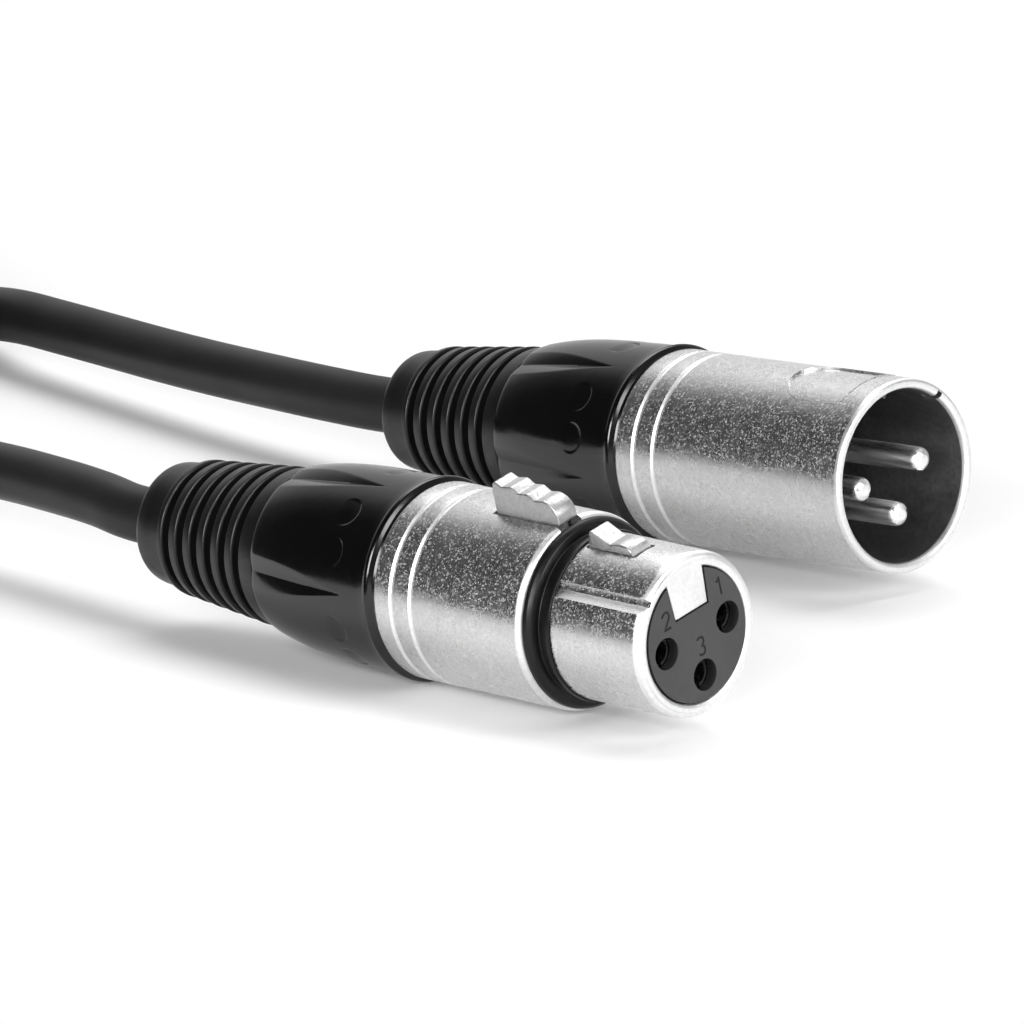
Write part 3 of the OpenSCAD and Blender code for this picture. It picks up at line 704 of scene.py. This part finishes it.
key_groove = bar(
    [(-1, 8.4), (-0.97, 7.95), (0.05, 7.34), (0.6, 7.34), (0.66, 7.98), (0.66, 8.4)], 1, 15.1
)
bmesh.ops.transform(
    key_groove, matrix=Matrix.Rotation(GROOVE_TURN, 4, "X"), verts=key_groove.verts
)
tongue_form = bar([(-2.2, 2.5), (-2.5, 6.95), (2.5, 6.95), (2.2, 2.5)], -0.1, 2.1)
low_edges = [edge for edge in tongue_form.edges if all(v.co.z < 3 for v in edge.verts)]
front_edges = [edge for edge in tongue_form.edges if all(v.co.x > -0.2 for v in edge.verts)]
bmesh.ops.bevel(
    tongue_form,
    geom=list(set(low_edges + front_edges)),
    offset=0.12,
    affect="EDGES",
    segments=3,
    profile=0.5,
    material=-1,
)
socket_shell_form = machined(
    turned(
        [
            (-0.3, 6.55, 0.05),
            (-0.12, 6.68, 0.05),
            (0, 6.95, 0.05),
            (0, 7.34, 0.05),
            (-0.2, 7.45),
            (-0.22, 7.58),
            (-0.3, 7.78, 0.1),
            (-0.85, 8, 0.25),
            (-11.45, 8),
            (-11.45, 7.75),
            (-14.1, 7.75),
            (-14.1, 9.05, 0.05),
            (-14.25, 9.3, 0.1),
            (-14.6, SHELL_R, 0.1),
            *turned_line(-28.5),
            *turned_line(-31.05),
            (-33.2, SHELL_R, 0.1),
            (-SOCKET_SHELL_LEN, 9.36, 0.05),
            (-SOCKET_SHELL_LEN, 8.3),
            (-15.65, 8.3),
            (-15.65, 6.55),
        ]
    ),
    cuts=[
        block(-11.25, -4.7, 1.45, 5.5, 9, rounding=0.25),
        block(-23.05, -14.09, 1.45, 7.6, 10.5),
        block(-23.05, -15.66, 1.45, 5.65, 10.5),
        key_groove,
    ],
    additions=[tongue_form],
)
socket_shell = as_piece("socket_shell", socket_shell_form, SOCKET_PLACE, 28)
cut_bright(
    socket_shell,
    SOCKET_PLACE,
    [
        (-0.7, 0.1, 6.6),
        (-0.2, 0.1, 2),
        (-14.68, -14.0, 8.3),
        (-28.8, -28.2, 9),
        (-31.35, -30.75, 9),
        (-34, -33.15, 8),
    ],
)
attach(socket_shell, "root")
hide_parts("female_shell")

BADGE_BACK, BADGE_FRONT, BADGE_HALF = -12.05, -3.2, 3.8
KEY_TURN = 46.5


def round_bar(radius, length, segments, place):
    """A round bar about its place's Z axis."""
    form = bmesh.new()
    bmesh.ops.create_cone(
        form,
        cap_ends=True,
        segments=segments,
        radius1=radius,
        radius2=radius,
        depth=length,
        matrix=place,
    )
    return form


def badge(more, low_r, high_r):
    """The badge outline, grown by an amount, as a curved plate between two radii."""
    half = BADGE_HALF + more
    middle = BADGE_BACK + BADGE_HALF
    back_end = round_bar(half, 11, 96, Matrix.Translation((middle, 0, 5.5)))
    form = machined(back_end, additions=[block(middle, BADGE_FRONT + more, half, 0, 11)])
    inside = turned([(1, 0), (1, low_r), (-20, low_r), (-20, 0)])
    outside = turned([(1, high_r), (1, 14), (-20, 14), (-20, high_r)])
    return machined(form, cuts=[inside, outside])


badge_rim = machined(badge(0.22, 9.25, 9.57), cuts=[badge(0, 9, 12)])
plug_shell_form = machined(
    turned(
        [
            (-0.45, 8.5, 0.2),
            (-0.12, 8.62, 0.1),
            (0, 8.85, 0.05),
            (0, 9.2, 0.05),
            (-0.12, 9.42, 0.08),
            (-0.5, SHELL_R, 0.15),
            *turned_line(-24.85),
            *turned_line(-27.5),
            (-29.8, SHELL_R, 0.1),
            (-PLUG_SHELL_LEN, 9.36, 0.05),
            (-PLUG_SHELL_LEN, 8.3),
            (-16.4, 8.3),
            (-16.4, 8.5),
        ]
    ),
    cuts=[
        badge(0, 9.3, 12),
        block(-8.4, -5, 1.65, 7.5, 9, rounding=0.1),
        block(-2, 1, 0.32, 7.5, 9.15, turn=-KEY_TURN),
    ],
    additions=[
        badge_rim,
        block(-16.38, -7, 0.45, 7.75, 8.8, turn=-KEY_TURN, rounding=0.12),
    ],
)
plug_shell = as_piece("plug_shell", plug_shell_form, PLUG_PLACE, 28)
cut_bright(
    plug_shell,
    PLUG_PLACE,
    [(-0.52, 0.1, 8.4), (-25.15, -24.55, 9), (-27.8, -27.2, 9), (-31, -29.75, 8)],
)
# The bore and the notch in the rim get a darker nickel: painted shade inside the plug's mouth.
bore_painted_shade = nickel("bore_nickel_painted_shade", 0.35, 0.38, 0.1)
plug_shell.data.materials.append(bore_painted_shade)
back = (Matrix.Scale(0.001, 4) @ PLUG_PLACE).inverted()
for face in plug_shell.data.polygons:
    x, y, z = back @ face.center
    in_notch = abs(math.atan2(y, z) - math.radians(KEY_TURN)) < 0.045 and x > -2.1
    if math.hypot(y, z) < (9.16 if in_notch else 8.6) and (x < -0.6 or in_notch):
        face.material_index = 2
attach(plug_shell, "root")
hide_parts("male_shell")

# ---- nose ring ----
# A black rubber ring that sits in the groove behind the socket's nose and takes up the rattle
# when a plug is pushed on.
ring_form = turned(
    [
        (-14.05, 7.8),
        (-14.05, 9.1, 0.06),
        (-13.9, 9.2, 0.08),
        (-13.5, 9.12, 0.1),
        (-13.15, 8.8, 0.08),
        (-13.05, 8.35, 0.06),
        (-13, 7.95, 0.1),
        (-11.95, 7.95, 0.1),
        (-11.9, 8.26, 0.06),
        (-11.5, 8.2, 0.05),
        (-11.5, 7.8),
    ]
)
nose_ring = as_piece("socket_nose_ring", ring_form, SOCKET_PLACE)
rubber = bpy.data.materials.new("ring_rubber")
tree = new_tree(rubber)
finished(
    tree,
    Base_Color=ramp(tree, grain(tree, 400), (0.3, 0.003), (0.7, 0.005)),
    Roughness=spread(tree, grain(tree, 1200), 0.3, 0.42),
    Specular_IOR_Level=0.3,
    Normal=bumped(tree, grain(tree, 3000), 0.00001),
)
nose_ring.data.materials.append(rubber)
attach(nose_ring, "root")
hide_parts("female_nose_ring")

# ---- latch ----
# A cast lever on a steel pin in the insert: the stepped button is pressed with the thumb, the hook
# in the nose dips, and a small coil spring lifts it again. It is tumbled and plated with nickel.
latch_side = [
    (-26.5, 5.35, 0), (-22.6, 5.2, 0), (-5.5, 5.2, 0), (-5.2, 5.6, 0), (-5.2, 7.9, 0.1),
    (-5.55, 8.45, 0.1), (-5.95, 8.68, 0.1), (-6.93, 8.78, 0.3), (-7.68, 8.66, 0.3),
    (-8.22, 8.52, 0.15), (-10.35, 9.6, 0.12), (-10.6, 9.5, 0.08), (-10.95, 7.8, 0),
    (-10.95, 6.2, 0), (-15.9, 6.2, 0), (-15.9, 9.4, 0), (-14.45, 9.4, 0), (-14.36, 9.6, 0.05),
    (-14.42, 10.5, 0.2), (-14.75, 11.05, 0.2), (-15.3, 11.5, 0.25), (-16.05, 11.72, 0.2),
    (-17.22, 11.58, 0.12), (-18.04, 12.11, 0.2), (-19.26, 11.98, 0.12), (-20.07, 12.52, 0.2),
    (-21.38, 12.33, 0.12), (-22.25, 12.75, 0.2), (-22.6, 12.45, 0.15), (-22.6, 7.6, 0),
    (-26.5, 7.85, 0),
]
LATCH_HALF = 1.25
latch_form = bmesh.new()
outlined(latch_form, [((x, -LATCH_HALF, z), rounding) for x, z, rounding in latch_side], 3)
bmesh.ops.contextual_create(latch_form, geom=latch_form.edges[:])
other_side = bmesh.ops.extrude_face_region(latch_form, geom=latch_form.faces[:])
drawn_out(latch_form, other_side, (0, 2 * LATCH_HALF, 0))
bmesh.ops.recalc_face_normals(latch_form, faces=latch_form.faces)
rims = [
    edge
    for edge in latch_form.edges
    if abs(edge.verts[0].co.y - edge.verts[1].co.y) < 0.01
    and min(v.co.z for v in edge.verts) > 8
]
bmesh.ops.bevel(
    latch_form, geom=rims, offset=0.16, affect="EDGES", segments=3, profile=0.5, material=-1
)
PIVOT = Matrix.Translation((-26.5, 0, 6.6)) @ Matrix.Rotation(math.pi / 2, 4, "X")
boss = round_bar(1.25, 2 * LATCH_HALF, 48, PIVOT)
eye = round_bar(0.65, 4, 48, PIVOT)
latch_form = machined(machined(latch_form, additions=[boss]), cuts=[eye])
latch = as_piece("socket_latch", latch_form, SOCKET_PLACE, 30)
tumbled = nickel("tumbled_nickel", 0.42, 0.5, 0.4)
latch.data.materials.append(tumbled)
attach(latch, "latch")
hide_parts("female_latch")
dress("latch_pin", tumbled)
dress("latch_spring", tumbled)

# ---- bushings ----
# Glossy black moulded caps that screw into the shells and close the chucks on the cable. Five
# V-shaped hollows and pairs of shallow thumb dimples between them give a grip.
RIM_R = 9.9
BUSHING_LEN = 17.95
BACK_R = 8.25
HOLLOW_TIP = 4.0
HOLLOW_HALF = 1.55
HOLLOW_FLOOR_R = 7.95
HOLLOW_RUN_IN = 11
DIMPLE_FRONT = 4.6
DIMPLE_R = 1.55
DIMPLE_DEPTH = 0.13
DIMPLE_TURN = math.radians(12.5)
FIFTH = math.tau / 5


def bushing_radius(t):
    """The bushing's outer radius at a distance behind the shell, without the hollows."""
    share = max((t - 2) / (BUSHING_LEN - 2), 0)
    return RIM_R - 0.25 - 0.25 * share - (RIM_R - 0.5 - BACK_R) * share**3.5


def sunk(t, around):
    """How far the surface sinks at a distance behind the shell and an angle from a hollow."""
    radius = bushing_radius(t)
    turn = (around + FIFTH / 2) % FIFTH - FIFTH / 2
    sink = 0
    if t > HOLLOW_TIP:
        half = HOLLOW_HALF * eased((t - HOLLOW_TIP) / HOLLOW_RUN_IN) ** 0.7 + 0.05
        along = min(max((BUSHING_LEN - t) / (BUSHING_LEN - HOLLOW_TIP), 0), 1)
        floor = HOLLOW_FLOOR_R + (bushing_radius(HOLLOW_TIP) - HOLLOW_FLOOR_R) * along**0.8
        across = abs(turn) * radius / half
        sink = max(radius - floor, 0) * max(1 - 0.9 * across - 0.1 * eased(across), 0)
    middle = DIMPLE_FRONT + DIMPLE_R
    aside = (abs(abs(turn) - FIFTH / 2) - DIMPLE_TURN) * radius
    reach = math.hypot(t - middle, aside)
    fade = 1 - eased((t - DIMPLE_FRONT - 0.5) / 2.2)
    return sink + DIMPLE_DEPTH * fade * (1 - eased((reach - DIMPLE_R + 0.15) / 0.18))


gloss = bpy.data.materials.new("bushing_gloss")
tree = new_tree(gloss)
finished(
    tree,
    Base_Color=ramp(tree, grain(tree, 220), (0.3, 0.0006), (0.7, 0.0009)),
    Roughness=spread(tree, grain(tree, 350, 5), 0.12, 0.2),
    Specular_IOR_Level=0.6,
    Normal=bumped(tree, grain(tree, 900, 2), 0.00001),
)
for side, replaced, length, place, phase in (
    ("socket", "female_bushing", SOCKET_SHELL_LEN, SOCKET_PLACE, 6),
    ("plug", "male_bushing", PLUG_SHELL_LEN, PLUG_PLACE, 20),
):
    rows = [2 + 0.25 * k for k in range(10)] + [4.5 + 0.1 * k for k in range(26)]
    rows += [7.2 + 0.22 * k for k in range(46)]
    outline = [
        (5, 6.1),
        (5, 8.2, 0.3),
        (0, 8.2),
        (-0.08, 9.2, 0.05),
        (-0.3, 9.38, 0.08),
        (-0.55, 9.8, 0.1),
        (-0.75, 9.9, 0.08),
        (-1.0, 9.88, 0.12),
        (-1.25, 9.7, 0.08),
        *((-t, bushing_radius(t)) for t in rows),
        (-BUSHING_LEN + 0.5, bushing_radius(BUSHING_LEN - 0.5)),
        (-BUSHING_LEN + 0.28, bushing_radius(BUSHING_LEN - 0.28) - 0.02),
        (-BUSHING_LEN + 0.12, BACK_R - 0.03),
        (-BUSHING_LEN + 0.05, BACK_R - 0.15),
        (-BUSHING_LEN + 0.05, 6.1),
    ]
    form = turned(outline, 112, FIFTH)
    for spot in form.verts:
        radius = math.hypot(spot.co.y, spot.co.z)
        if spot.co.x < -1.9 and radius > 7.9:
            around = math.atan2(-spot.co.y, spot.co.z)
            keep = (radius - sunk(-spot.co.x, around)) / radius
            spot.co.y *= keep
            spot.co.z *= keep
    bmesh.ops.spin(
        form,
        geom=form.verts[:] + form.edges[:] + form.faces[:],
        cent=(0, 0, 0),
        axis=(1, 0, 0),
        dvec=(0, 0, 0),
        angle=4 * FIFTH,
        steps=4,
        use_merge=False,
        use_duplicate=True,
    )
    bmesh.ops.remove_doubles(form, verts=form.verts, dist=0.001)
    phased = Matrix.Rotation(math.radians(phase), 4, "X")
    place = place @ Matrix.Translation((-length, 0, 0)) @ phased
    bushing = as_piece(f"{side}_bushing", form, place, 40)
    bushing.data.materials.append(gloss)
    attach(bushing, "root")
    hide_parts(replaced)

# ---- boots ----
# Soft rubber sleeves moulded over the cable's end, with six grooves so that they bend with it.
# They plug into the bushing's back and end in a plain collar.
GROOVE_PITCH = 2.1
FIRST_GROOVE = 20.5
GROOVE_DEPTH = 1.1
soft_rubber = bpy.data.materials.new("boot_rubber")
tree = new_tree(soft_rubber)
finished(
    tree,
    Base_Color=ramp(tree, grain(tree, 300), (0.3, 0.003), (0.7, 0.005)),
    Roughness=spread(tree, grain(tree, 900, 4), 0.32, 0.42),
    Specular_IOR_Level=0.45,
    Normal=bumped(tree, grain(tree, 3500), 0.00001),
)
for side, replaced, length, place in (
    ("socket", "female_boot", SOCKET_SHELL_LEN, SOCKET_PLACE),
    ("plug", "male_boot", PLUG_SHELL_LEN, PLUG_PLACE),
):
    outline = [(-13, 2.8), (-13, 6), (-BUSHING_LEN, 6), (-BUSHING_LEN, 7.8)]
    outline.append((-BUSHING_LEN - 0.1, 7.95, 0.08))
    for groove in range(6):
        t = FIRST_GROOVE + GROOVE_PITCH * groove
        rib = 7.95 - (t - BUSHING_LEN) * 0.095
        outline += [
            (-t + 0.55, rib, 0.12),
            (-t + 0.42, rib - 0.25, 0.05),
            (-t + 0.38, rib - GROOVE_DEPTH, 0.12),
            (-t - 0.38, rib - GROOVE_DEPTH, 0.12),
            (-t - 0.42, rib - 0.25, 0.05),
            (-t - 0.55, rib, 0.12),
        ]
    outline += [
        (-32.15, 6.6, 0.12),
        (-32.4, 6.1, 0.1),
        (-34.8, 6, 0.5),
        (-35.75, 5.8, 0.4),
        (-BOOT_END, 5.1, 0.2),
        (-BOOT_END, 2.8, 0.05),
    ]
    boot = as_piece(f"{side}_boot", turned(outline), place @ Matrix.Translation((-length, 0, 0)))
    boot.data.materials.append(soft_rubber)
    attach(boot, "root")
    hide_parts(replaced)
